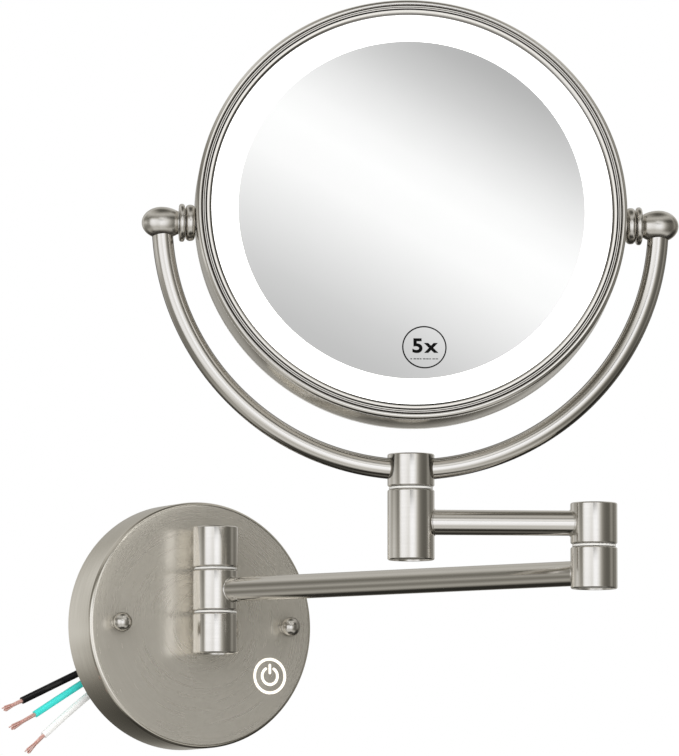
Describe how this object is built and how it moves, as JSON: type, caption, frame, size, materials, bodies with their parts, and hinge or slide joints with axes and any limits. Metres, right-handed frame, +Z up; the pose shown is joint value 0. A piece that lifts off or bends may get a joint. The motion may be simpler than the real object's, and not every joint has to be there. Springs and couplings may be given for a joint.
{
  "type": "extendable shaving mirror",
  "caption": "Wall-mounted round shaving mirror: double-sided lit head that tilts in a yoke on a folding swing arm, with a round touch-switch wall plate.",
  "frame": {"origin": "centre of the wall plate's back face, on the wall", "axes": "+Z up, the wall is the plane y = 0 and the mirror stands out towards -Y, +X to the right seen from the room"},
  "size_m": [0.2332, 0.2781, 0.3486],
  "materials": {
    "brushed_nickel": "brushed satin nickel plate",
    "plain_steel": "zinc-plated steel",
    "white_nylon": "satin",
    "lit_diffuser": "frosted, lit from behind",
    "silvered_glass": "polished",
    "circuit_board": "satin",
    "driver_case": "matte",
    "black_rubber": "matte",
    "badge_ink": "printed ink",
    "insulation_black": "satin",
    "insulation_green": "satin",
    "insulation_white": "satin",
    "bare_copper": "bright drawn copper"
  },
  "bodies": {
    "wall_plate": {"wall_plate_cover": "brushed_nickel", "mounting_plate": "plain_steel", "mounting_stud_left": "plain_steel", "mounting_stud_right": "plain_steel", "cap_nut_left": "brushed_nickel", "cap_nut_right": "brushed_nickel", "touch_light_guide": "lit_diffuser", "touch_disc": "brushed_nickel", "touch_sensor_board": "circuit_board", "led_driver": "driver_case", "wire_grommet": "black_rubber", "hinge_stub_upper": "brushed_nickel", "hinge_stub_lower": "brushed_nickel", "wall_knuckle_upper": "brushed_nickel", "wall_knuckle_lower": "brushed_nickel", "wall_hinge_pin": "plain_steel", "wall_cap_top": "brushed_nickel", "wall_cap_bottom": "brushed_nickel", "wire_black": "insulation_black", "wire_black_core": "bare_copper", "wire_green": "insulation_green", "wire_green_core": "bare_copper", "wire_white": "insulation_white", "wire_white_core": "bare_copper"},
    "long_arm": {"wall_knuckle_middle": "brushed_nickel", "wall_washer_upper": "white_nylon", "wall_washer_lower": "white_nylon", "long_arm_tube": "brushed_nickel", "elbow_knuckle_lower": "brushed_nickel", "elbow_washer": "white_nylon", "elbow_hinge_pin": "plain_steel", "elbow_cap_bottom": "brushed_nickel"},
    "short_arm": {"elbow_knuckle_upper": "brushed_nickel", "elbow_cap_top": "brushed_nickel", "short_arm_tube": "brushed_nickel", "post_knuckle_lower": "brushed_nickel", "post_washer": "white_nylon", "post_hinge_pin": "plain_steel", "post_cap_bottom": "brushed_nickel"},
    "yoke": {"post_knuckle_upper": "brushed_nickel", "post_cap_top": "brushed_nickel", "yoke_tube": "brushed_nickel", "ball_end_right": "brushed_nickel", "ball_end_left": "brushed_nickel", "thin_collar_right": "brushed_nickel", "thin_collar_left": "brushed_nickel"},
    "mirror_head": {"bead_collar_right": "brushed_nickel", "bead_collar_left": "brushed_nickel", "trunnion_right": "plain_steel", "trunnion_left": "plain_steel", "head_band": "brushed_nickel", "front_bezel": "brushed_nickel", "rear_bezel": "brushed_nickel", "front_light_ring": "lit_diffuser", "rear_light_ring": "lit_diffuser", "front_mirror": "silvered_glass", "rear_mirror": "silvered_glass", "chassis_plate": "plain_steel", "led_board": "circuit_board", "magnifier_badge": "badge_ink"}
  },
  "joints": [
    {"name": "wall_swing", "type": "hinge", "parent": "wall_plate", "child": "long_arm", "pos_m": [0, -0.0407, 0.016], "axis": [0, 0, 1], "range_deg": [-116.9, 63.1]},
    {"name": "elbow_swing", "type": "hinge", "parent": "long_arm", "child": "short_arm", "pos_m": [0.10044, -0.23868, 0.02865], "axis": [0, 0, 1], "range_deg": [-26.1, 303.9]},
    {"name": "post_swivel", "type": "hinge", "parent": "short_arm", "child": "yoke", "pos_m": [0.0207, -0.20646, 0.055], "axis": [0, 0, 1], "range_deg": [-170, 170]},
    {"name": "head_tilt", "type": "hinge", "parent": "yoke", "child": "mirror_head", "pos_m": [0.0207, -0.20646, 0.179], "axis": [0.9205, -0.3907, 0], "range_deg": [-180, 180]}
  ]
}
